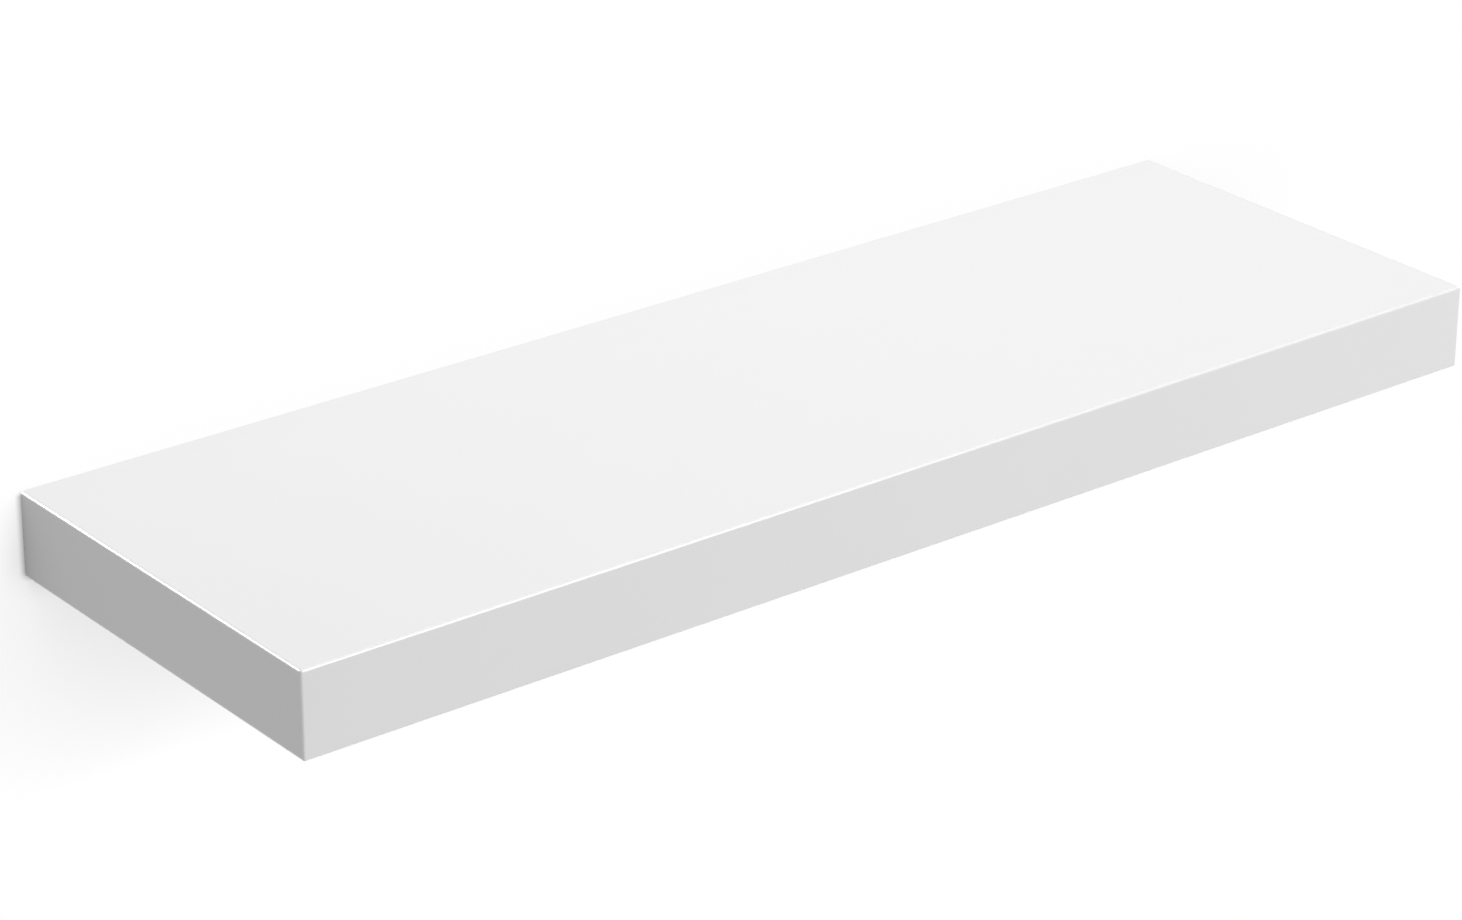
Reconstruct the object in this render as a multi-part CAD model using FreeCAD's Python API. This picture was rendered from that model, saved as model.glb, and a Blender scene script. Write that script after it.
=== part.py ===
"""Floating wall shelf: a hollow-core board that slides onto a concealed steel bracket.

The board is a glued sandwich. Two hardboard skins cover a chipboard frame, and
expanded paper honeycomb fills the bays between its rails. Plastic edge bands
close the front and the two ends; the rear is left raw, because it faces the
wall. The bracket is a steel strip that is screwed to the wall, with two welded
rods that reach into bores of the board. A set screw under each rod clamps it.

Frame: X runs along the wall, +Y points into the wall and +Z is up. The origin
is on the wall plane, at mid length and mid thickness. Sizes are in millimetres.
"""

import FreeCAD
import Part
import math
import os

from FreeCAD import Vector

# ---------------------------------------------------------------- the board
length = 610.0
depth = 200.0
thickness = 38.0
skin_thickness = 3.0
band_thickness = 1.3
edge_radius = 1.2
wall_gap = 0.8

# --------------------------------------------------- the frame in the board
front_rail_width = 30.0
rear_rail_width = 24.0
end_rail_width = 30.0
rib_width = 50.0

# ----------------------------------------------------------- the paper core
cell_width = 24.0
paper_thickness = 0.3
core_end_gap = 1.0

# -------------------------------------------------------------- the bracket
rod_spacing = 280.0
rod_diameter = 12.0
rod_reach = 130.0
rod_tip_chamfer = 1.5
tenon_diameter = 8.0
weld_leg = 3.0
plate_thickness = 3.0
plate_height = 22.0
plate_corner_radius = 3.0
plate_edge_break = 0.3
plate_end_margin = 16.0
screw_hole_diameter = 5.5
screw_slot_length = 12.0
screw_offset = 28.0

# ------------------------------------------- what the board leaves for them
rod_clearance = 0.2
bore_extra_depth = 6.0
bore_mouth_chamfer = 1.5
recess_clearance = 1.0
screw_head_room = 4.0

# ---------------------------------------------------------- the lock screws
lock_screw_diameter = 6.0
lock_screw_inset = 20.0
lock_screw_recess = 0.95
lock_tip_gap = 0.05
lock_thread_clearance = 0.05
lock_point_chamfer = 1.2
lock_end_chamfer = 0.5
hex_key_size = 3.0
hex_key_depth = 3.5
insert_wall = 1.1
insert_barb_height = 0.6
insert_barb_count = 2
insert_roof = 1.3
skin_hole_clearance = 0.75

# -------------------------------------------------- places they settle on
half_length = length / 2
half_thickness = thickness / 2
half_core = half_thickness - skin_thickness
inner_x = half_length - band_thickness
rear_y = -wall_gap
front_y = rear_y - depth
band_y = front_y + band_thickness
bay_front_y = band_y + front_rail_width
bay_rear_y = rear_y - rear_rail_width
rod_x = rod_spacing / 2
rod_radius = rod_diameter / 2
bore_radius = rod_radius + rod_clearance
rod_tip_y = -plate_thickness - rod_reach
recess_floor_y = -plate_thickness - screw_head_room
plate_half_length = rod_x + screw_offset + screw_slot_length / 2 + plate_end_margin
lock_y = bay_rear_y - lock_screw_inset
insert_length = half_core - bore_radius - insert_roof

ALONG_WALL = Vector(1, 0, 0)
OUT_OF_WALL = Vector(0, -1, 0)
UP = Vector(0, 0, 1)


def block(x, y, z):
    """A box from three (low, high) pairs."""
    return Part.makeBox(x[1] - x[0], y[1] - y[0], z[1] - z[0], Vector(x[0], y[0], z[0]))


def turned(profile, centre, axis):
    """A solid of revolution. The profile lists (radius, distance along the axis) corners."""
    corners = [centre + ALONG_WALL * radius + axis * along for radius, along in profile]
    face = Part.Face(Part.makePolygon(corners + corners[:1]))
    return face.revolve(centre, axis, 360)


def edges_along_y(solid):
    return [edge for edge in solid.Edges if abs(edge.tangentAt(edge.FirstParameter).y) > 0.99]


def rounded_plate(half_x, half_z, corner, near_y, far_y):
    """A plate parallel to the wall, centred on the origin, with rounded corners."""
    plate = block((-half_x, half_x), (far_y, near_y), (-half_z, half_z))
    return plate.makeFillet(corner, edges_along_y(plate))


# ------------------------------------------------------------------ cutters
def rod_bore(x):
    """The drilling for one rod, with a flared mouth that guides the rod in."""
    flare = bore_radius + bore_mouth_chamfer
    floor = -recess_floor_y
    bottom = -rod_tip_y + bore_extra_depth
    profile = [
        (0, 0),
        (flare, 0),
        (flare, floor),
        (bore_radius, floor + bore_mouth_chamfer),
        (bore_radius, bottom),
        (0, bottom),
    ]
    return turned(profile, Vector(x, 0, 0), OUT_OF_WALL)


def plate_recess():
    """The routed pocket that takes the wall plate and its screw heads."""
    return rounded_plate(
        plate_half_length + recess_clearance,
        plate_height / 2 + recess_clearance,
        plate_corner_radius + recess_clearance,
        0,
        recess_floor_y,
    )


def lock_screw_hole(x):
    """The hole in the bottom skin that the lock screw is reached through."""
    radius = lock_screw_diameter / 2 + skin_hole_clearance
    return Part.makeCylinder(radius, skin_thickness, Vector(x, lock_y, -half_thickness), UP)


def lock_screw_passage(x):
    """The lock screw's way up through its insert and the wood to the rod's bore."""
    return Part.makeCylinder(lock_screw_diameter / 2, half_core, Vector(x, lock_y, -half_core), UP)


# ------------------------------------------------- the outside of the board
def rounded_board():
    """The whole board as one solid, with every edge rounded but those against the wall."""
    board = block((-half_length, half_length), (front_y, rear_y), (-half_thickness, half_thickness))
    outer_edges = [edge for edge in board.Edges if edge.CenterOfMass.y < rear_y - 0.01]
    return board.makeFillet(edge_radius, outer_edges)


def slice_of_board(x, y, z=(-half_thickness, half_thickness)):
    return rounded_board().common(block(x, y, z))


def top_skin():
    return slice_of_board((-inner_x, inner_x), (band_y, rear_y), (half_core, half_thickness))


def bottom_skin():
    skin = slice_of_board((-inner_x, inner_x), (band_y, rear_y), (-half_thickness, -half_core))
    return skin.cut([lock_screw_hole(-rod_x), lock_screw_hole(rod_x)])


def front_edge_band():
    return slice_of_board((-half_length, half_length), (front_y, band_y))


def end_edge_band(side):
    return slice_of_board(sorted([side * half_length, side * inner_x]), (band_y, rear_y))


# --------------------------------------------------------- the chipboard frame
def rail(x, y):
    """A rail as high as the space between the skins, drilled where a rod passes."""
    return block(x, y, (-half_core, half_core)).cut([rod_bore(-rod_x), rod_bore(rod_x)])


def front_rail():
    return rail((-inner_x, inner_x), (band_y, bay_front_y))


def rear_rail():
    return rail((-inner_x, inner_x), (bay_rear_y, rear_y)).cut(plate_recess())


def end_rail(side):
    ends = sorted([side * inner_x, side * (inner_x - end_rail_width)])
    return rail(ends, (bay_front_y, bay_rear_y))


def guide_rib(side):
    """The cross rail that a rod slides into, with the pocket for its lock screw's insert."""
    centre = side * rod_x
    rib = rail((centre - rib_width / 2, centre + rib_width / 2), (bay_front_y, bay_rear_y))
    return rib.cut([insert_body(centre), lock_screw_passage(centre)])


# ----------------------------------------------------------- the paper core
def cell_opening():
    """The corners of the hexagonal opening in one cell, about its centre.

    The core is paper strips that run along X. A strip is glued to its neighbours
    where it is level, so those two walls are two papers thick and the four
    slanting ones are one.
    """
    level_wall_y = cell_width / 2 - paper_thickness
    slant_wall_distance = (cell_width - paper_thickness) / 2
    slant = math.radians(30)
    tip_x = slant_wall_distance / math.cos(slant)
    shoulder_x = (slant_wall_distance - level_wall_y * math.sin(slant)) / math.cos(slant)
    return [
        Vector(tip_x, 0, 0),
        Vector(shoulder_x, level_wall_y, 0),
        Vector(-shoulder_x, level_wall_y, 0),
        Vector(-tip_x, 0, 0),
        Vector(-shoulder_x, -level_wall_y, 0),
        Vector(shoulder_x, -level_wall_y, 0),
    ]


def paper_core(x_low, x_high):
    """Expanded honeycomb that fills the bay between two cross rails."""
    low = Vector(x_low + core_end_gap, bay_front_y + core_end_gap, -half_core)
    high = Vector(x_high - core_end_gap, bay_rear_y - core_end_gap, -half_core)
    middle = (low + high) / 2
    column_pitch = cell_width * math.sqrt(3) / 2
    columns = math.ceil((high.x - low.x) / 2 / column_pitch) + 1
    rows = math.ceil((high.y - low.y) / 2 / cell_width) + 1

    openings = []
    for column in range(-columns, columns + 1):
        stagger = cell_width / 2 if column % 2 else 0
        for row in range(-rows, rows + 1):
            centre = middle + Vector(column * column_pitch, row * cell_width + stagger, 0)
            corners = [centre + corner for corner in cell_opening()]
            openings.append(Part.Face(Part.makePolygon(corners + corners[:1])))

    pad = Part.makePlane(high.x - low.x, high.y - low.y, low)
    walls = max(pad.cut(openings).Faces, key=lambda face: face.Area)
    return walls.extrude(UP * 2 * half_core)


# -------------------------------------------------------------- the bracket
def plate_drilling(x, diameter):
    return Part.makeCylinder(diameter / 2, plate_thickness, Vector(x, 0, 0), OUT_OF_WALL)


def plate_slot(x):
    """A level slot, so that the outer screws can miss a hard spot in the wall."""
    half_straight = (screw_slot_length - screw_hole_diameter) / 2
    half_height = screw_hole_diameter / 2
    middle = block(
        (x - half_straight, x + half_straight),
        (-plate_thickness, 0),
        (-half_height, half_height),
    )
    ends = [plate_drilling(x + shift, screw_hole_diameter) for shift in (-half_straight, half_straight)]
    return middle.fuse(ends).removeSplitter()


def wall_plate():
    """The steel strip: a tenon hole for each rod, with a round hole and a slot beside it."""
    plate = rounded_plate(
        plate_half_length, plate_height / 2, plate_corner_radius, 0, -plate_thickness
    )
    along_y = edges_along_y(plate)
    rims = [edge for edge in plate.Edges if not any(edge.isSame(other) for other in along_y)]
    plate = plate.makeChamfer(plate_edge_break, rims)

    cuts = []
    for side in (-1, 1):
        cuts.append(plate_drilling(side * rod_x, tenon_diameter))
        cuts.append(plate_drilling(side * (rod_x - screw_offset), screw_hole_diameter))
        cuts.append(plate_slot(side * (rod_x + screw_offset)))
    return plate.cut(cuts)


def rod(side):
    """A round bar whose turned-down tenon fills its hole in the plate."""
    tip = -rod_tip_y
    profile = [
        (0, 0),
        (tenon_diameter / 2, 0),
        (tenon_diameter / 2, plate_thickness),
        (rod_radius, plate_thickness),
        (rod_radius, tip - rod_tip_chamfer),
        (rod_radius - rod_tip_chamfer, tip),
        (0, tip),
    ]
    return turned(profile, Vector(side * rod_x, 0, 0), OUT_OF_WALL)


def weld_bead(side):
    """The fillet weld in the corner between a rod and the plate."""
    profile = [
        (rod_radius, 0),
        (rod_radius + weld_leg, 0),
        (rod_radius, weld_leg),
    ]
    return turned(profile, Vector(side * rod_x, -plate_thickness, 0), OUT_OF_WALL)


# ---------------------------------------------------------- the lock screws
def insert_body(x):
    """The outside of the pressed-in insert, with barbs whose shoulders face down.

    The screw pushes the rod up and its insert down, and the shoulders hold.
    """
    root_radius = lock_screw_diameter / 2 + insert_wall
    barb_radius = root_radius + insert_barb_height
    pitch = insert_length / insert_barb_count
    profile = [(0, 0)]
    for barb in range(insert_barb_count):
        profile.append((barb_radius, barb * pitch))
        profile.append((root_radius, (barb + 1) * pitch))
    profile.append((0, insert_length))
    return turned(profile, Vector(x, lock_y, -half_core), UP)


def screw_insert(side):
    centre = side * rod_x
    return insert_body(centre).cut(lock_screw_passage(centre))


def hex_socket(base):
    corners = []
    for corner in range(7):
        turn = math.radians(60 * corner)
        corners.append(base + Vector(math.cos(turn), math.sin(turn), 0) * (hex_key_size / math.sqrt(3)))
    return Part.Face(Part.makePolygon(corners)).extrude(UP * hex_key_depth)


def lock_screw(side):
    """A set screw with a hexagon socket below and a cup point that bears on the rod."""
    radius = lock_screw_diameter / 2 - lock_thread_clearance
    point_radius = radius - lock_point_chamfer
    base = Vector(side * rod_x, lock_y, -half_thickness + lock_screw_recess)
    tip = -rod_radius - lock_tip_gap - base.z
    profile = [
        (0, 0),
        (radius - lock_end_chamfer, 0),
        (radius, lock_end_chamfer),
        (radius, tip - lock_point_chamfer),
        (point_radius, tip),
        (0, tip - point_radius / 2),
    ]
    return turned(profile, base, UP).cut(hex_socket(base))


# ------------------------------------------------------------------- export
def shelf_pieces():
    """Every piece by name; left is -X, as seen by someone who faces the wall."""
    end_x = inner_x - end_rail_width
    rib_near_x = rod_x - rib_width / 2
    rib_far_x = rod_x + rib_width / 2
    pieces = {
        "top_skin": top_skin(),
        "bottom_skin": bottom_skin(),
        "front_edge_band": front_edge_band(),
        "front_rail": front_rail(),
        "rear_rail": rear_rail(),
        "left_paper_core": paper_core(-end_x, -rib_far_x),
        "middle_paper_core": paper_core(-rib_near_x, rib_near_x),
        "right_paper_core": paper_core(rib_far_x, end_x),
        "screw_inserts": Part.makeCompound([screw_insert(-1), screw_insert(1)]),
        "wall_plate": wall_plate(),
        "weld_beads": Part.makeCompound([weld_bead(-1), weld_bead(1)]),
    }
    for name, side in (("left", -1), ("right", 1)):
        pieces[f"{name}_edge_band"] = end_edge_band(side)
        pieces[f"{name}_end_rail"] = end_rail(side)
        pieces[f"{name}_guide_rib"] = guide_rib(side)
        pieces[f"{name}_rod"] = rod(side)
        pieces[f"{name}_lock_screw"] = lock_screw(side)
    return pieces


os.makedirs("parts", exist_ok=True)
for node, shape in shelf_pieces().items():
    if not shape.Solids or not shape.isValid():
        raise RuntimeError(f"{node} is not sound")
    shape.exportStep(f"parts/{node}.step")
    print(f"{node}: {shape.Volume / 1000:.2f} cm3")
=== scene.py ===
"""Looks of the floating wall shelf: a white hollow-core board on a concealed steel bracket.

Metres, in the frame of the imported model: X runs along the wall, +Y points into
the wall and +Z is up. The sections follow the shelf as it is put together.
"""

import math

import bmesh
import bpy
from mathutils import Matrix, Vector


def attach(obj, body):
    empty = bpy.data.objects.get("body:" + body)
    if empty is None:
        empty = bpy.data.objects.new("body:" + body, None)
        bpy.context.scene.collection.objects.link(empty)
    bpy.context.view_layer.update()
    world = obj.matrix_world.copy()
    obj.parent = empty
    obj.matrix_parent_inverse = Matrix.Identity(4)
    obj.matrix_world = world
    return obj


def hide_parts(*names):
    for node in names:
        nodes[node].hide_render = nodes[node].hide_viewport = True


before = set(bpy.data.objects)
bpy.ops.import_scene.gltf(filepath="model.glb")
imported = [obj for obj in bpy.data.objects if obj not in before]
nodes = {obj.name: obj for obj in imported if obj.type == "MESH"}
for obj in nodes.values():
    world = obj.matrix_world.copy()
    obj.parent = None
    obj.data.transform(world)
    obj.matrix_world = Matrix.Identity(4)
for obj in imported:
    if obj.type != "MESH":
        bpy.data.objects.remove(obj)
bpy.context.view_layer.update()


# ------------------------------------------------------------------- wall plate
# A strip of cold-rolled steel, drilled and slotted, that is screwed flat to the
# wall. It is zinc plated after the rods are welded on.

class Term:
    """One socket of a finish. Arithmetic on it adds Math nodes to the finish."""

    def __init__(self, finish, socket):
        self.finish = finish
        self.socket = socket

    def maths(self, operation, *terms):
        return self.finish.node("ShaderNodeMath", {"operation": operation}, dict(enumerate(terms)))

    def __add__(self, other):
        return self.maths("ADD", self, other)

    def __radd__(self, other):
        return self.maths("ADD", other, self)

    def __sub__(self, other):
        return self.maths("SUBTRACT", self, other)

    def __rsub__(self, other):
        return self.maths("SUBTRACT", other, self)

    def __mul__(self, other):
        return self.maths("MULTIPLY", self, other)

    def __rmul__(self, other):
        return self.maths("MULTIPLY", other, self)

    def __abs__(self):
        return self.maths("ABSOLUTE", self)

    def __pow__(self, other):
        return self.maths("POWER", self, other)

    def over(self, other):
        """1 where this is over the other, and 0 elsewhere."""
        return self.maths("GREATER_THAN", self, other)

    def larger(self, other):
        return self.maths("MAXIMUM", self, other)

    def smaller(self, other):
        return self.maths("MINIMUM", self, other)

    def rise(self, low, high):
        """0 below low and 1 above high, with a straight rise between them."""
        inputs = {"Value": self, "From Min": low, "From Max": high}
        return self.finish.node("ShaderNodeMapRange", {"clamp": True}, inputs)


class Finish:
    """The node tree of one surface finish, or of the world around the shelf."""

    def __init__(self, name, owners="materials"):
        self.owner = getattr(bpy.data, owners).new(name)
        self.owner.use_nodes = True
        self.tree = self.owner.node_tree
        self.tree.nodes.clear()

    def node(self, kind, settings=None, inputs=None, output=0):
        """A new node, set up first and then fed at its sockets, as one of its outputs."""
        made = self.tree.nodes.new(kind)
        for name, value in (settings or {}).items():
            if name == "stops":
                self.set_stops(made.color_ramp, value)
            else:
                setattr(made, name, value)
        for name, value in (inputs or {}).items():
            socket = made.inputs[name]
            if isinstance(value, Term):
                self.tree.links.new(value.socket, socket)
            elif socket.type == "RGBA":
                socket.default_value = (*value, 1)
            else:
                socket.default_value = value
        return Term(self, made.outputs[output]) if made.outputs else None

    @staticmethod
    def set_stops(ramp, stops):
        """Sets a colour ramp to (position, colour) stops, from left to right."""
        ramp.elements[0].position = stops[0][0]
        ramp.elements[-1].position = stops[-1][0]
        for position, _ in stops[1:-1]:
            ramp.elements.new(position)
        for element, (_, colour) in zip(ramp.elements, stops):
            element.color = (*colour, 1)

    def place(self):
        """The point on the surface in metres, from the object's origin."""
        return self.node("ShaderNodeTexCoord", output="Object")

    def axes(self, vector):
        inputs = {"Vector": vector}
        return [self.node("ShaderNodeSeparateXYZ", inputs=inputs, output=axis) for axis in "XYZ"]

    def scaled(self, vector, scale):
        return self.node("ShaderNodeMapping", inputs={"Vector": vector, "Scale": scale})

    def noise(self, vector, per_metre, detail=2.0, roughness=0.5):
        inputs = {"Vector": vector, "Scale": per_metre, "Detail": detail, "Roughness": roughness}
        return self.node("ShaderNodeTexNoise", inputs=inputs)

    def ramp(self, value, stops):
        return self.node("ShaderNodeValToRGB", {"stops": stops}, {"Fac": value})

    def mix(self, factor, first, second):
        inputs = {0: factor, 6: first, 7: second}
        return self.node("ShaderNodeMix", {"data_type": "RGBA"}, inputs, 2)

    def shade(self, colour, value):
        """A colour made lighter or darker by a value about 1."""
        inputs = {0: colour, "Scale": value}
        return self.node("ShaderNodeVectorMath", {"operation": "SCALE"}, inputs)

    def bump(self, height, distance, strength=1.0):
        inputs = {"Height": height, "Distance": distance, "Strength": strength}
        return self.node("ShaderNodeBump", inputs=inputs)

    def surface(self, inputs):
        """The finish's one shader, wired to the output."""
        shader = self.node("ShaderNodeBsdfPrincipled", inputs=inputs)
        self.node("ShaderNodeOutputMaterial", inputs={"Surface": shader})


def coat(piece, finish):
    """Gives the piece this finish all over."""
    if not piece.material_slots:
        piece.data.materials.append(None)
    for slot in piece.material_slots:
        slot.material = finish.owner


def zinc_plating(name, marks_along):
    """Bright zinc over rolled or drawn steel, whose fine marks run along one axis."""
    finish = Finish(name)
    place = finish.place()
    marks_per_metre = [50 if axis == marks_along else 4200 for axis in "xyz"]
    marks = finish.noise(finish.scaled(place, marks_per_metre), 1, 3)
    clouds = finish.noise(place, 70, 4)
    specks = finish.noise(place, 1500, 2).rise(0.62, 0.74)
    tint = finish.ramp(clouds, [
        (0.3, (0.54, 0.56, 0.58)),
        (0.52, (0.62, 0.62, 0.60)),
        (0.75, (0.66, 0.64, 0.57)),
    ])
    finish.surface({
        "Base Color": finish.shade(tint, 0.83 + marks * 0.22 - specks * 0.14),
        "Metallic": 1.0,
        "Roughness": 0.24 + clouds * 0.16 + marks * 0.1 + specks * 0.15,
        "Normal": finish.bump(marks - specks * 0.4, 0.00002, 0.6),
    })
    return finish


coat(nodes["wall_plate"], zinc_plating("zinc_on_rolled_strip", "x"))


# ------------------------------------------------------------------------- rods
# Two lengths of 12 mm bright drawn bar. A turned tenon fills the hole in the
# plate, and the chamfered tip with its centre mark guides the board on.

ALONG_WALL = Vector((1, 0, 0))
OUT_OF_WALL = Vector((0, -1, 0))
UP = Vector((0, 0, 1))

rod_x = 0.140             # from the middle of the plate to each rod
rod_stations = [          # (radius, distance out of the wall)
    (0.0037, 0.0),
    (0.0040, 0.0003),
    (0.0040, 0.0030),
    (0.0060, 0.0030),
    (0.0060, 0.1314),
    (0.0059, 0.1316),
    (0.0045, 0.1330),
    (0.0014, 0.1330),
    (0.0002, 0.1318),
]


def deselect_all():
    if bpy.context.object and bpy.context.object.mode != "OBJECT":
        bpy.ops.object.mode_set(mode="OBJECT")
    bpy.ops.object.select_all(action="DESELECT")


def pick(piece):
    """Selects the piece and nothing else."""
    deselect_all()
    piece.select_set(True)
    bpy.context.view_layer.objects.active = piece


def edit(piece):
    """Opens the piece for shaping, with nothing else selected."""
    pick(piece)
    bpy.ops.object.mode_set(mode="EDIT")


def close_edit(piece):
    """Points the faces outwards, leaves edit mode and puts the place into the mesh."""
    bpy.ops.mesh.select_all(action="SELECT")
    bpy.ops.mesh.normals_make_consistent(inside=False)
    bpy.ops.object.mode_set(mode="OBJECT")
    bpy.ops.object.transform_apply(location=True, rotation=True, scale=True)
    return piece


def smooth(piece, degrees):
    """Shades the piece smooth, apart from edges sharper than this angle."""
    pick(piece)
    bpy.ops.object.shade_smooth_by_angle(angle=math.radians(degrees))


def apply_modifier(piece, kind, **settings):
    """Adds one modifier with these settings and applies it."""
    pick(piece)
    modifier = piece.modifiers.new(kind.lower(), kind)
    for name, value in settings.items():
        setattr(modifier, name, value)
    bpy.ops.object.modifier_apply(modifier=modifier.name)


def turned(name, stations, centre, axis, sides):
    """A piece as from a lathe: a disc at the first station, drawn out from one to the next."""
    radius, along = stations[0]
    deselect_all()
    bpy.ops.mesh.primitive_circle_add(
        vertices=sides,
        radius=radius,
        fill_type="NGON",
        location=centre + axis * along,
        rotation=UP.rotation_difference(axis).to_euler(),
    )
    piece = bpy.context.object
    piece.name = piece.data.name = name
    bpy.ops.object.transform_apply(location=True, rotation=True, scale=True)
    edit(piece)
    bpy.ops.mesh.select_all(action="SELECT")
    for next_radius, next_along in stations[1:]:
        step = axis * (next_along - along)
        bpy.ops.mesh.extrude_region_move(TRANSFORM_OT_translate={"value": step})
        ratio = next_radius / radius
        middle = centre + axis * next_along
        bpy.ops.transform.resize(value=(ratio, ratio, ratio), center_override=middle)
        radius, along = next_radius, next_along
    return close_edit(piece)


def copy_across(piece, name, distance):
    """A copy with its own mesh, moved along the wall."""
    copy = piece.copy()
    copy.data = piece.data.copy()
    copy.name = copy.data.name = name
    bpy.context.scene.collection.objects.link(copy)
    pick(copy)
    bpy.ops.transform.translate(value=ALONG_WALL * distance)
    bpy.ops.object.transform_apply(location=True, rotation=True, scale=True)
    return copy


drawn_zinc = zinc_plating("zinc_on_drawn_bar", "y")
left_bar = turned("left_support_rod", rod_stations, ALONG_WALL * -rod_x, OUT_OF_WALL, 96)
smooth(left_bar, 25)
right_bar = copy_across(left_bar, "right_support_rod", 2 * rod_x)
for bar, node in ((left_bar, "left_rod"), (right_bar, "right_rod")):
    coat(bar, drawn_zinc)
    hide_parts(node)
    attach(bar, "bracket")


# ------------------------------------------------------------------------ welds
# A fillet weld runs once round each rod where it meets the plate. It is laid
# bead over bead, which leaves the crowned ripples, and plated with the rest.

weld_profile = [          # (distance from the rod's middle, distance out of the wall)
    (0.0059, 0.0029),
    (0.0090, 0.0029),
    (0.00885, 0.00345),
    (0.0084, 0.0041),
    (0.0078, 0.0048),
    (0.0071, 0.0054),
    (0.0065, 0.00585),
    (0.0059, 0.0060),
]
weld_ripples = 44
rings_in_ripple = 4
ripple_rises = [(0, 0.00016), (1, 0.00008), (3, -0.00006)]      # (ring of the ripple, rise)
crown_radius = 0.0062     # the ripples start this far from the rod's middle
crown_out = 0.0031        # and this far out of the wall
same_place = 1e-6         # vertices nearer to each other than this are one


def merge_doubles():
    """Merges the open piece's doubled vertices, and leaves all of it selected."""
    bpy.ops.mesh.select_all(action="SELECT")
    bpy.ops.mesh.remove_doubles(threshold=same_place)


def drawn_line(name, points, closed):
    """A chain of edges: one vertex is put at the first point and drawn from point to point."""
    deselect_all()
    bpy.context.tool_settings.mesh_select_mode = (True, False, False)
    bpy.ops.mesh.primitive_circle_add(vertices=3, radius=0.001, location=(0, 0, 0))
    piece = bpy.context.object
    piece.name = piece.data.name = name
    edit(piece)
    bpy.ops.mesh.select_all(action="SELECT")
    bpy.ops.mesh.merge(type="CENTER")
    bpy.ops.transform.translate(value=points[0])
    for point, next_point in zip(points, points[1:] + points[:1] * closed):
        bpy.ops.mesh.extrude_vertices_move(TRANSFORM_OT_translate={"value": next_point - point})
    merge_doubles()
    return piece


def select_vertices(piece, chosen):
    """Selects, in edit mode, the vertices for which chosen(place) is true."""
    shape = bmesh.from_edit_mesh(piece.data)
    for vertex in shape.verts:
        vertex.select_set(bool(chosen(vertex.co)))
    shape.select_flush_mode()
    bmesh.update_edit_mesh(piece.data)


def weld(name):
    """The ring of weld about a rod at the middle of the wall plate."""
    corners = [ALONG_WALL * radius + OUT_OF_WALL * out for radius, out in weld_profile]
    piece = drawn_line(name, corners, closed=True)
    rings = weld_ripples * rings_in_ripple
    bpy.ops.mesh.spin(steps=rings, angle=2 * math.pi, center=(0, 0, 0), axis=(0, 1, 0))
    merge_doubles()
    bpy.ops.mesh.normals_make_consistent(inside=False)

    def on_ring(place, step):
        """True on the crown of every ring that is this step of its ripple."""
        radius = math.hypot(place.x, place.z)
        if radius < crown_radius or place.y > -crown_out:
            return False
        turn = math.atan2(place.z, place.x) / (2 * math.pi) * rings
        return round(turn) % rings_in_ripple == step

    for step, rise in ripple_rises:
        select_vertices(piece, lambda place: on_ring(place, step))
        bpy.ops.transform.shrink_fatten(value=rise)
    return close_edit(piece)


left_weld = weld("left_weld")
lumps = bpy.data.textures.new("weld_lumps", "CLOUDS")
lumps.noise_scale = 0.004
apply_modifier(left_weld, "DISPLACE", texture=lumps, strength=0.0003, mid_level=0.5)
smooth(left_weld, 60)
left_weld.data.transform(Matrix.Translation(ALONG_WALL * -rod_x))
right_weld = copy_across(left_weld, "right_weld", 2 * rod_x)


def zinc_on_weld():
    """Zinc on weld metal: duller, mottled, with a little straw colour from the heat."""
    finish = Finish("zinc_on_weld")
    place = finish.place()
    clouds = finish.noise(place, 420, 4)
    pits = finish.noise(place, 3000, 2).rise(0.6, 0.75)
    tint = finish.ramp(clouds, [
        (0.35, (0.50, 0.50, 0.49)),
        (0.55, (0.60, 0.59, 0.56)),
        (0.7, (0.58, 0.54, 0.46)),
    ])
    finish.surface({
        "Base Color": finish.shade(tint, 1 - pits * 0.3),
        "Metallic": 1.0,
        "Roughness": 0.36 + clouds * 0.2 + pits * 0.2,
        "Normal": finish.bump(clouds - pits, 0.00005, 0.5),
    })
    return finish


weld_finish = zinc_on_weld()
for run in (left_weld, right_weld):
    coat(run, weld_finish)
    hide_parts("weld_beads")
    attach(run, "bracket")


# -------------------------------------------------------------- chipboard frame
# Rails and ribs sawn from chipboard and glued between the skins. The chips are
# coarse in the middle of the board and fine next to its two faces.

coarse_chips_per_metre = 290
fine_chips_per_metre = 950


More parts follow.
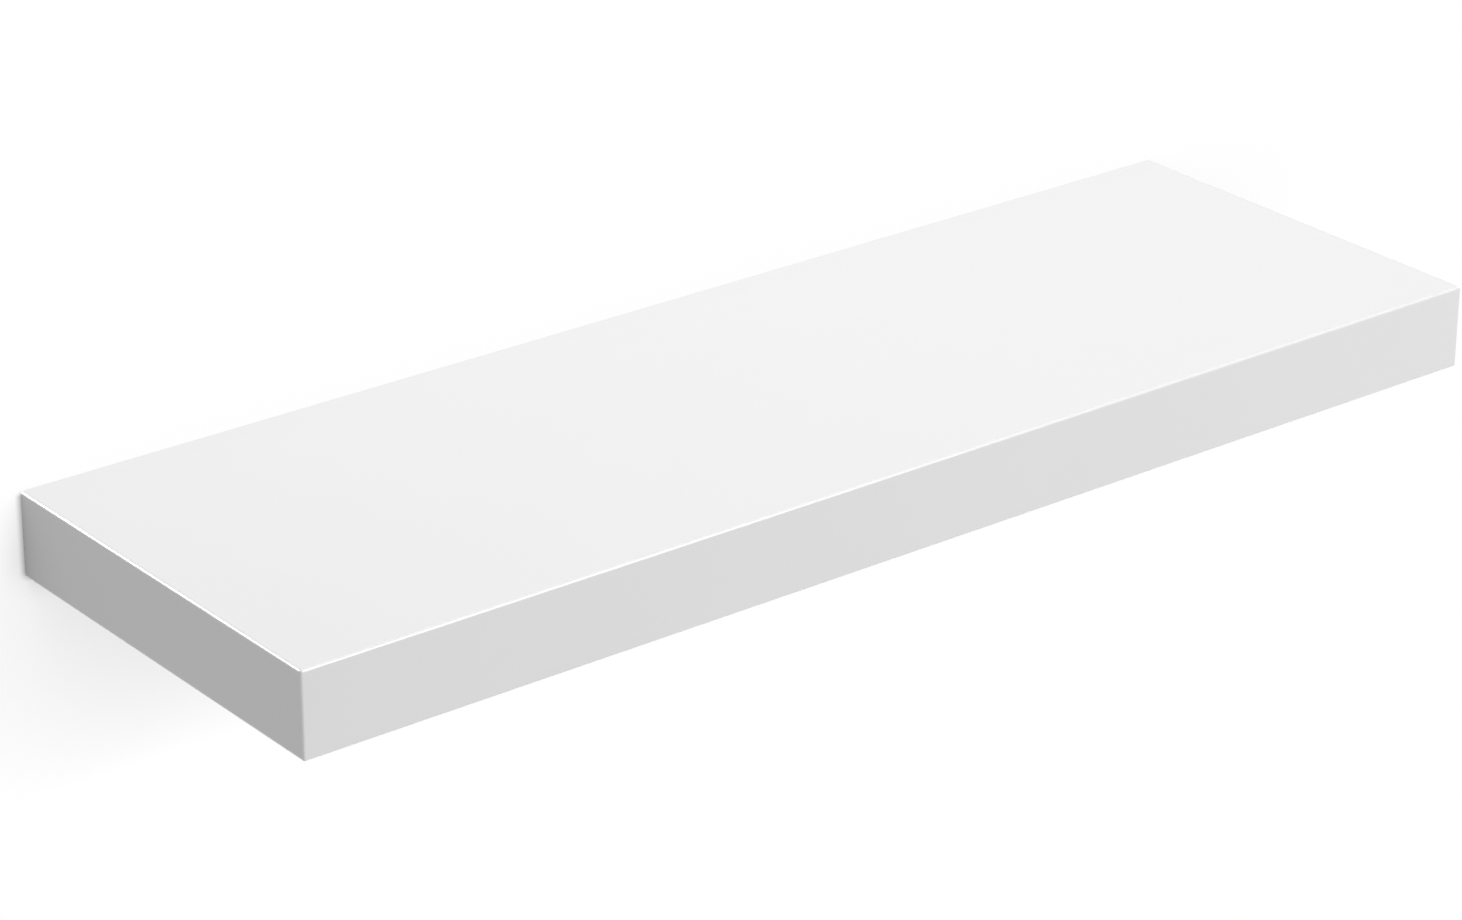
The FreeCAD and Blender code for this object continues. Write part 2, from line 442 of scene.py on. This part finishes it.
def chipboard():
    """Pressed wood chips in resin, with painted shade in the gaps between the chips and pale glue
    where the frame meets the skins.
    """
    finish = Finish("chipboard")
    place = finish.place()
    height = abs(finish.axes(place)[2])

    def pushed(start, colour, reach):
        """A place that is pushed to a side by a colour."""
        inputs = {0: colour, 1: (reach, reach, reach), 2: start}
        return finish.node("ShaderNodeVectorMath", {"operation": "MULTIPLY_ADD"}, inputs)

    inputs = {"Vector": place, "Scale": 240.0, "Detail": 2.0}
    wander = finish.node("ShaderNodeTexNoise", inputs=inputs, output="Color")
    wandering = pushed(place, wander, 0.004)

    def chips(per_metre, thinner):
        """Chips of one size, as (a random colour for each chip, distance to its edge)."""
        flattened = finish.scaled(wandering, (per_metre * 0.7, per_metre, per_metre * thinner))
        inputs = {"Vector": flattened, "Scale": 1.0}
        colour = finish.node("ShaderNodeTexVoronoi", inputs=inputs, output="Color")
        edge = finish.node("ShaderNodeTexVoronoi", {"feature": "DISTANCE_TO_EDGE"}, inputs)
        return colour, edge

    coarse_chip, coarse_edge = chips(coarse_chips_per_metre, 2.9)
    fine_chip, fine_edge = chips(fine_chips_per_metre, 1.8)
    small_between = finish.noise(place, 330, 2).rise(0.5, 0.56)
    fineness = height.rise(0.008, 0.0135).larger(small_between * 0.9)
    chip = finish.mix(fineness, coarse_chip, fine_chip)
    tone = finish.axes(chip)[0]
    crevices = finish.noise(place, 520, 3).rise(0.46, 0.62)
    edge = coarse_edge + (fine_edge - coarse_edge) * fineness
    # The gaps between the chips are darkened in colour as well as sunk by the bump: painted shade
    # in the open gaps.
    gap = (1 - edge.rise(0.0, 0.11)) * (0.12 + crevices * 0.88)
    own_grain = pushed(wandering, chip, 0.05)
    fibres = finish.noise(finish.scaled(own_grain, (420, 2600, 4600)), 1, 4, 0.65)
    wood = finish.ramp(tone, [
        (0.0, (0.26, 0.16, 0.085)),
        (0.3, (0.44, 0.30, 0.17)),
        (0.6, (0.56, 0.41, 0.25)),
        (0.85, (0.66, 0.51, 0.33)),
        (1.0, (0.72, 0.58, 0.40)),
    ])
    grained_wood_with_gap_shade = finish.shade(wood, 0.62 + fibres * 0.72 - gap * 0.5)
    glue = height.rise(0.01575, 0.0158)
    finish.surface({
        "Base Color": finish.mix(glue, grained_wood_with_gap_shade, (0.66, 0.58, 0.42)),
        "Roughness": 0.82 - glue * 0.3,
        "Specular IOR Level": 0.25,
        "Normal": finish.bump(tone * 0.5 + fibres * 0.5 - gap * 1.3, 0.0002, 0.7),
    })
    return finish


chipboard_finish = chipboard()
for name in (
    "front_rail",
    "rear_rail",
    "left_end_rail",
    "right_end_rail",
    "left_guide_rib",
    "right_guide_rib",
):
    coat(nodes[name], chipboard_finish)


# ---------------------------------------------------------------- screw inserts
# Turned brass sleeves, pressed from below into the guide ribs. Their barbs bite
# into the wood, and an M6 thread inside takes the lock screw.

lock_y = -0.0448          # where the screws bear on the rods
insert_low = -0.0160
insert_stations = [       # (radius, height above the insert's lower end)
    (0.00445, 0.0),
    (0.00465, 0.0002),
    (0.0047, 0.0007),
    (0.0041, 0.0042),
    (0.0047, 0.0043),
    (0.0047, 0.0048),
    (0.0041, 0.0083),
    (0.0039, 0.0085),
]
thread_pitch = 0.001
thread_depth = 0.5413 * thread_pitch
thread_start = -0.0225    # below both the insert and the screw
thread_turns = 18
thread_profile = [        # (0 at the root or 1 at the crest, share of the pitch)
    (0, 1 / 8),
    (1, 7 / 16),
    (1, 9 / 16),
    (0, 7 / 8),
    (0, 9 / 8),
]
insert_thread_radius = 0.0030
insert_mouth = [(0.0034, -0.0003), (0.0034, 0.0), (0.0030, 0.0004)]
cut_tolerance = 1e-7


def trim(place, normal, keep):
    """Saws the open piece through and keeps the part on one side of the cut."""
    bpy.ops.mesh.select_all(action="SELECT")
    bpy.ops.mesh.bisect(
        plane_co=place,
        plane_no=normal,
        use_fill=True,
        clear_inner=keep == "far",
        clear_outer=keep == "near",
        threshold=cut_tolerance,
    )


def threaded_bar(name, major_radius):
    """A bar along Z with a helical 60 degree thread, cut square below and above."""
    root_radius = major_radius - thread_depth
    points = []
    for at_crest, share in thread_profile:
        radius = major_radius if at_crest else root_radius
        points.append(Vector((radius, 0, thread_start + share * thread_pitch)))
    piece = drawn_line(name, points, closed=False)
    apply_modifier(
        piece,
        "SCREW",
        axis="Z",
        screw_offset=thread_pitch,
        iterations=thread_turns,
        steps=36,
        render_steps=36,
    )
    edit(piece)
    merge_doubles()
    trim((0, 0, thread_start + 1.5 * thread_pitch), UP, "far")
    trim((0, 0, thread_start + (thread_turns - 0.5) * thread_pitch), UP, "near")
    return close_edit(piece)


def cut(piece, tool, operation="DIFFERENCE"):
    """Cuts the piece with a tool, or keeps what both share, and takes the tool away."""
    apply_modifier(piece, "BOOLEAN", object=tool, operation=operation, solver="EXACT")
    bpy.data.objects.remove(tool)
    edit(piece)
    merge_doubles()
    bpy.ops.mesh.dissolve_degenerate(threshold=same_place)
    bpy.ops.object.mode_set(mode="OBJECT")


left_insert = turned("left_brass_insert", insert_stations, UP * insert_low, UP, 72)
cut(left_insert, threaded_bar("tap", insert_thread_radius))
cut(left_insert, turned("mouth_countersink", insert_mouth, UP * insert_low, UP, 72))
smooth(left_insert, 28)
left_insert.data.transform(Matrix.Translation((-rod_x, lock_y, 0)))
right_insert = copy_across(left_insert, "right_brass_insert", 2 * rod_x)


def turned_brass():
    """Brass with the fine rings of the lathe and a light tarnish."""
    finish = Finish("turned_brass")
    place = finish.place()
    rings = finish.noise(finish.scaled(place, (90, 90, 9000)), 1, 2)
    tarnish = finish.noise(place, 500, 3)
    tint = finish.ramp(tarnish, [
        (0.35, (0.62, 0.43, 0.19)),
        (0.55, (0.74, 0.55, 0.27)),
        (0.75, (0.78, 0.60, 0.32)),
    ])
    finish.surface({
        "Base Color": finish.shade(tint, 0.88 + rings * 0.24),
        "Metallic": 1.0,
        "Roughness": 0.2 + tarnish * 0.22,
        "Normal": finish.bump(rings, 0.00002, 0.6),
    })
    return finish


brass_finish = turned_brass()
for sleeve in (left_insert, right_insert):
    coat(sleeve, brass_finish)
    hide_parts("screw_inserts")
    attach(sleeve, "board")


# ------------------------------------------------------------------ paper cores
# Three pads of expanded kraft honeycomb that keep the skins apart in the bays.
# The strips of brown paper are glued to each other and to both skins.

def kraft_paper():
    """Unbleached paper with long fibres, dark specks and a soft nap."""
    finish = Finish("kraft_paper")
    place = finish.place()
    fibres = finish.noise(finish.scaled(place, (2600, 2600, 420)), 1, 4, 0.6)
    cloudy = finish.noise(place, 160, 3)
    specks = finish.noise(place, 2200, 1).rise(0.68, 0.76)
    tint = finish.ramp(fibres, [
        (0.3, (0.33, 0.215, 0.115)),
        (0.5, (0.45, 0.31, 0.18)),
        (0.7, (0.54, 0.39, 0.24)),
    ])
    finish.surface({
        "Base Color": finish.shade(tint, 0.86 + cloudy * 0.28 - specks * 0.35),
        "Roughness": 0.9 - fibres * 0.1,
        "Specular IOR Level": 0.2,
        "Normal": finish.bump(fibres, 0.00006, 0.8),
    })
    return finish


kraft_finish = kraft_paper()
for name in ("left_paper_core", "middle_paper_core", "right_paper_core"):
    coat(nodes[name], kraft_finish)


# ------------------------------------------------------------------------ skins
# Two sheets of 3 mm hardboard, glued to the frame and the paper. White satin
# foil covers their outer faces; their rear edge shows the brown fibre.

white = (0.87, 0.87, 0.87)
outer_height = 0.0190
foil_thickness = 0.00012
skin_end_x = 0.3037
skin_front_y = -0.1995
seam_width = 0.00008


def foiled_hardboard():
    """White foil outside with a faint orange peel, and dense brown hardboard inside."""
    finish = Finish("white_foil_on_hardboard")
    place = finish.place()
    along, out, height = finish.axes(place)
    foil = abs(height).over(outer_height - foil_thickness)

    fibres = finish.noise(finish.scaled(place, (900, 900, 2600)), 1, 4, 0.6)
    brown = finish.ramp(fibres, [
        (0.3, (0.20, 0.12, 0.065)),
        (0.5, (0.31, 0.20, 0.115)),
        (0.7, (0.40, 0.27, 0.16)),
    ])
    bare_roughness = 0.78

    peel = finish.noise(place, 620, 2)
    mottle = finish.noise(place, 24, 3)
    edge_distance = (skin_end_x - abs(along)).smaller(out - skin_front_y)
    seam = 1 - edge_distance.rise(seam_width * 0.5, seam_width)
    sheet = finish.shade(white, 0.992 + mottle * 0.016 - seam * 0.25)
    foil_roughness = 0.31 + mottle * 0.1

    finish.surface({
        "Base Color": finish.mix(foil, brown, sheet),
        "Roughness": bare_roughness + foil * (foil_roughness - bare_roughness),
        "Normal": finish.bump(peel * foil + fibres * (1 - foil) * 4, 0.00001, 0.5),
    })
    return finish


skin_finish = foiled_hardboard()
for name in ("top_skin", "bottom_skin"):
    coat(nodes[name], skin_finish)


# ------------------------------------------------------------------- edge bands
# White plastic band, 1.3 mm thick, hot-glued to the front and to both ends, and
# milled flush with the foil to a 1.2 mm round. It is one plastic all through.

half_length = 0.305
front_y = -0.2008
rear_y = -0.0008
edge_round = 0.0012
round_steps = 10


def rounded_board(name):
    """The whole board in one block, with every edge rounded but the four at the wall."""
    deselect_all()
    bpy.ops.mesh.primitive_cube_add(
        size=1,
        location=(0, (front_y + rear_y) / 2, 0),
        scale=(2 * half_length, rear_y - front_y, 2 * outer_height),
    )
    piece = bpy.context.object
    piece.name = piece.data.name = name
    bpy.ops.object.transform_apply(location=True, rotation=True, scale=True)
    edit(piece)
    bpy.context.tool_settings.mesh_select_mode = (False, True, False)
    bpy.ops.mesh.select_all(action="DESELECT")
    shape = bmesh.from_edit_mesh(piece.data)
    for edge in shape.edges:
        edge.select_set(any(vertex.co.y < rear_y - same_place for vertex in edge.verts))
    bmesh.update_edit_mesh(piece.data)
    bpy.ops.mesh.bevel(offset=edge_round, segments=round_steps, profile=0.5, affect="EDGES")
    return piece


def band_of(name, cuts):
    """A band sawn out of the rounded board by cuts of (place, normal, side kept)."""
    piece = rounded_board(name)
    for place, normal, keep in cuts:
        trim(place, normal, keep)
    close_edit(piece)
    smooth(piece, 35)
    apply_modifier(piece, "WEIGHTED_NORMAL", keep_sharp=True, weight=100)
    return piece


front_cut = ((0, skin_front_y, 0), (0, 1, 0))
front_band = band_of("front_band", [(*front_cut, "near")])
left_cut = ((-skin_end_x, 0, 0), (1, 0, 0))
left_band = band_of("left_end_band", [(*front_cut, "far"), (*left_cut, "near")])
right_cut = ((skin_end_x, 0, 0), (1, 0, 0))
right_band = band_of("right_end_band", [(*front_cut, "far"), (*right_cut, "far")])


def band_plastic():
    """White satin plastic, whose milled rounds are buffed to a gloss."""
    finish = Finish("white_band_plastic")
    place = finish.place()
    along, out, height = finish.axes(place)
    mottle = finish.noise(place, 24, 3)
    peel = finish.noise(place, 900, 2)
    flat_height = outer_height - edge_round
    level_round = abs(height).rise(flat_height - 0.0001, flat_height + 0.0001)
    corner_round = abs(along).over(half_length - edge_round) * (1 - out.over(front_y + edge_round))
    buffed = level_round.larger(corner_round)
    finish.surface({
        "Base Color": finish.shade(white, 0.992 + mottle * 0.016),
        "Roughness": 0.31 + mottle * 0.1 - buffed * 0.1,
        "Coat Weight": buffed,
        "Coat Roughness": 0.3,
        "Normal": finish.bump(peel, 0.00001, 0.35),
    })
    return finish


band_finish = band_plastic()
for band, node in (
    (front_band, "front_edge_band"),
    (left_band, "left_edge_band"),
    (right_band, "right_edge_band"),
):
    coat(band, band_finish)
    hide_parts(node)
    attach(band, "board")


# ------------------------------------------------------------------ lock screws
# M6 x 12 set screws of hardened steel, blackened and oiled. Each is turned up
# from below with a 3 mm hex key until its cup point bites the rod.

screw_low = -0.01805
screw_length = 0.0120
screw_thread_radius = 0.00295
blank_stations = [        # (radius, height above the socket end)
    (0.00235, 0.0),
    (0.0031, 0.00075),
    (0.0031, 0.01045),
    (0.00175, screw_length),
    (0.00150, screw_length),
    (0.0001, 0.01115),
]
hex_key = 0.003
hex_corner_radius = hex_key / math.sqrt(3)
socket_stations = [
    (hex_corner_radius, -0.001),
    (hex_corner_radius, 0.0035),
    (0.0001, 0.0043),
]
socket_chamfer = [(0.00215, -0.0003), (0.0019, 0.0), (0.0015, 0.0004)]

left_screw = turned("left_set_screw_m6", blank_stations, UP * screw_low, UP, 72)
cut(left_screw, threaded_bar("die", screw_thread_radius), "INTERSECT")
cut(left_screw, turned("hex_broach", socket_stations, UP * screw_low, UP, 6))
cut(left_screw, turned("socket_countersink", socket_chamfer, UP * screw_low, UP, 72))
smooth(left_screw, 28)
left_screw.data.transform(Matrix.Translation((-rod_x, lock_y, 0)))
right_screw = copy_across(left_screw, "right_set_screw_m6", 2 * rod_x)


def black_oxide():
    """Blackened steel, satin with oil, and rubbed paler on the crests of the thread."""
    finish = Finish("black_oxide")
    place = finish.place()
    along, out, _ = finish.axes(place)
    across = abs(along) - rod_x
    outward = out - lock_y
    radius = (across * across + outward * outward) ** 0.5
    clouds = finish.noise(place, 900, 3)
    rubbed = radius.rise(0.00285, 0.00294) * clouds.rise(0.35, 0.65)
    finish.surface({
        "Base Color": finish.mix(rubbed, (0.040, 0.040, 0.042), (0.16, 0.155, 0.15)),
        "Metallic": 0.85,
        "Roughness": 0.34 + clouds * 0.2 - rubbed * 0.08,
        "Normal": finish.bump(clouds, 0.00002, 0.4),
    })
    return finish


black_finish = black_oxide()
for screw, side in ((left_screw, "left"), (right_screw, "right")):
    coat(screw, black_finish)
    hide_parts(f"{side}_lock_screw")
    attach(screw, f"{side}_set_screw")


# --------------------------------------------------------------- wall and floor
# The shelf hangs on a plain white wall above a pale floor. Neither is part of
# it. Both are seen from the room only. Both glow white, and the shelf's soft shadow is painted
# into their glow.

wall_behind_plate = 0.0003            # a little back, so that the plate lies clear of it
floor_z = -1.1
half_room = 3.0
room_light = 0.4                      # of white, for soft light and not for the eye
light_behind_shelf = 0.9              # of white, glowing from the wall behind the shelf onto its rear when it is off the wall
painted_shadow_from = (-0.1, -0.25, 0.96)      # where most of the light for the painted shadow on the wall comes from
wall_painted_contact_shade = [
    (0.0029, 0.96, outer_height - 0.0025, outer_height - 0.0002),
    (0.013, 0.33, -outer_height / 2, outer_height),
]
wall_painted_shadow = (0.10, 0.40)
floor_painted_contact_shade = [(0.1, 0.5, 0, outer_height)]
floor_painted_shadow = (1.4, 0.35)


def seen_by_eye(finish):
    """1 for what the eye sees, also by way of a gloss or a glass, and 0 for soft light."""
    camera, glossy, clear = (
        finish.node("ShaderNodeLightPath", output=f"Is {kind} Ray")
        for kind in ("Camera", "Glossy", "Transmission")
    )
    return camera.larger(glossy.larger(clear))


def backdrop_with_painted_shadow(name, shelters, shadow):
    """Glowing white paint with painted shade: darker close to the shelf and where its shadow
    falls.

    A shelter is (reach, depth, height from which it fades, height at which it ends), and
    the shadow is (reach, depth).
    """
    finish = Finish(name)
    finish.owner.cycles.emission_sampling = "NONE"
    up_and_out = finish.node("ShaderNodeCombineXYZ", inputs=dict(zip("XYZ", painted_shadow_from)))

    def hidden(reach, **facing):
        """The share of the light that the shelf keeps off this point, within this reach."""
        inputs = {"Distance": reach, **facing}
        return 1 - finish.node("ShaderNodeAmbientOcclusion", {"samples": 12}, inputs, "AO")

    along, _, height = finish.axes(finish.place())
    reach, depth = shadow
    # The painted shadow: ambient occlusion from the shelf darkens the glow, within the shadow's
    # reach and close in at each shelter.
    shade = 1 - hidden(reach, Normal=up_and_out) * depth
    for reach, depth, fades_from, ends_at in shelters:
        shade = shade * (1 - hidden(reach) * (1 - height.rise(fades_from, ends_at)) * depth)
    # For soft light the glow is painted darker still near the shelf, and brighter behind it, so
    # that the shelf's rear is lit.
    behind = (half_length - abs(along)).over(0) * (outer_height - abs(height)).over(0)
    bounced = room_light * shade ** 9 * (1 - behind) + behind * light_behind_shelf
    level = bounced + (shade - bounced) * seen_by_eye(finish)
    lit = finish.node("ShaderNodeEmission", inputs={"Color": level, "Strength": 1.0})
    back = finish.node("ShaderNodeNewGeometry", output="Backfacing")
    clear = finish.node("ShaderNodeBsdfTransparent")
    shown = finish.node("ShaderNodeMixShader", inputs={0: back, 1: lit, 2: clear})
    finish.node("ShaderNodeOutputMaterial", inputs={"Surface": shown})
    return finish


deselect_all()
bpy.ops.mesh.primitive_plane_add(
    size=2 * half_room,
    location=(0, wall_behind_plate, 0),
    rotation=(math.pi / 2, 0, 0),
)
wall = bpy.context.object
wall.name = "wall"
bpy.ops.object.transform_apply(location=True, rotation=True, scale=True)
coat(wall, backdrop_with_painted_shadow("wall_paint", wall_painted_contact_shade, wall_painted_shadow))

deselect_all()
bpy.ops.mesh.primitive_plane_add(size=2 * half_room, location=(0, -half_room, floor_z))
floor = bpy.context.object
floor.name = "floor"
bpy.ops.object.transform_apply(location=True, rotation=True, scale=True)
coat(floor, backdrop_with_painted_shadow("floor_paint", floor_painted_contact_shade, floor_painted_shadow))

for plane in (wall, floor):
    plane.visible_glossy = False
    plane.visible_transmission = False
    plane.visible_shadow = False


# --------------------------------------------------------------------- lighting
# Two large soft boxes light the shelf, one overhead and one low in front on the
# right. Two more only draw reflections, on its rounded edges and on the metal.

shelf_middle = Vector((0, -0.1, 0))
bands = (front_band, left_band, right_band)
rods_and_welds = (left_bar, right_bar, left_weld, right_weld)
other_metal = (nodes["wall_plate"], left_insert, right_insert, left_screw, right_screw)


def soft_box(name, toward, long_way, distance, length, width, radiance, shines_on=()):
    """A soft box that faces the shelf from one direction, its long side laid along another.

    It gives soft light and no reflections, or if it names pieces, reflections on those only.
    """
    lamp = bpy.data.lights.new(name, "AREA")
    lamp.shape = "RECTANGLE"
    lamp.size, lamp.size_y = length, width
    lamp.energy = radiance * math.pi * length * width
    box = bpy.data.objects.new(name, lamp)
    bpy.context.scene.collection.objects.link(box)
    back = Vector(toward).normalized()
    side = (Vector(long_way) - back * back.dot(Vector(long_way))).normalized()
    turn = Matrix((side, back.cross(side), back)).transposed().to_4x4()
    box.matrix_world = Matrix.Translation(shelf_middle + back * distance) @ turn
    box.visible_camera = False
    box.visible_diffuse = not shines_on
    box.visible_glossy = bool(shines_on)
    if shines_on:
        lit = bpy.data.collections.new(f"lit_by_{name}")
        for piece in shines_on:
            lit.objects.link(piece)
        box.light_linking.receiver_collection = lit


soft_box(
    "key_soft_box",
    toward=(0.08, 0.15, 0.985),
    long_way=(1, 0, 0),
    distance=1.8,
    length=1.0,
    width=0.8,
    radiance=6.88,
)
soft_box(
    "right_soft_box",
    toward=(0.38, -0.89, 0.25),
    long_way=(0, 0, 1),
    distance=3.0,
    length=2.0,
    width=1.35,
    radiance=5.03,
)
soft_box(
    "front_edge_strip",
    toward=(0.27, -0.84, 0.43),
    long_way=(1, 0, 0),
    distance=1.5,
    length=0.9,
    width=0.9,
    radiance=5.5,
    shines_on=(front_band, *rods_and_welds, *other_metal),
)
soft_box(
    "left_edge_strip",
    toward=(-0.574, 0.735, 0.316),
    long_way=(-0.482, 0, -0.876),
    distance=1.5,
    length=0.85,
    width=0.55,
    radiance=11.0,
    shines_on=(*bands, *rods_and_welds),
)

studio = Finish("studio", "worlds")
bpy.context.scene.world = studio.owner
level = room_light + (1 - room_light) * seen_by_eye(studio)
sky = studio.node("ShaderNodeBackground", inputs={"Color": level, "Strength": 1.0})
studio.node("ShaderNodeOutputWorld", inputs={"Surface": sky})
bpy.context.scene.view_settings.view_transform = "Standard"


# ----------------------------------------------------------------------- camera
# A long lens on a stand to the left of the shelf, in front of it and above it,
# almost level from side to side.

camera_place = Vector((-1.14255, -1.51259, 0.80135))
camera_forward = Vector((0.565998, 0.714984, -0.410419))
camera_right = Vector((0.784991, -0.619498, 0.003344))

lens = bpy.data.cameras.new("camera")
lens.lens = 116.443
lens.sensor_width = 36
camera = bpy.data.objects.new("camera", lens)
bpy.context.scene.collection.objects.link(camera)
back = -camera_forward.normalized()
right = (camera_right - back * camera_right.dot(back)).normalized()
up = back.cross(right)
turn = Matrix((right, up, back)).transposed().to_4x4()
camera.matrix_world = Matrix.Translation(camera_place) @ turn
bpy.context.scene.camera = camera
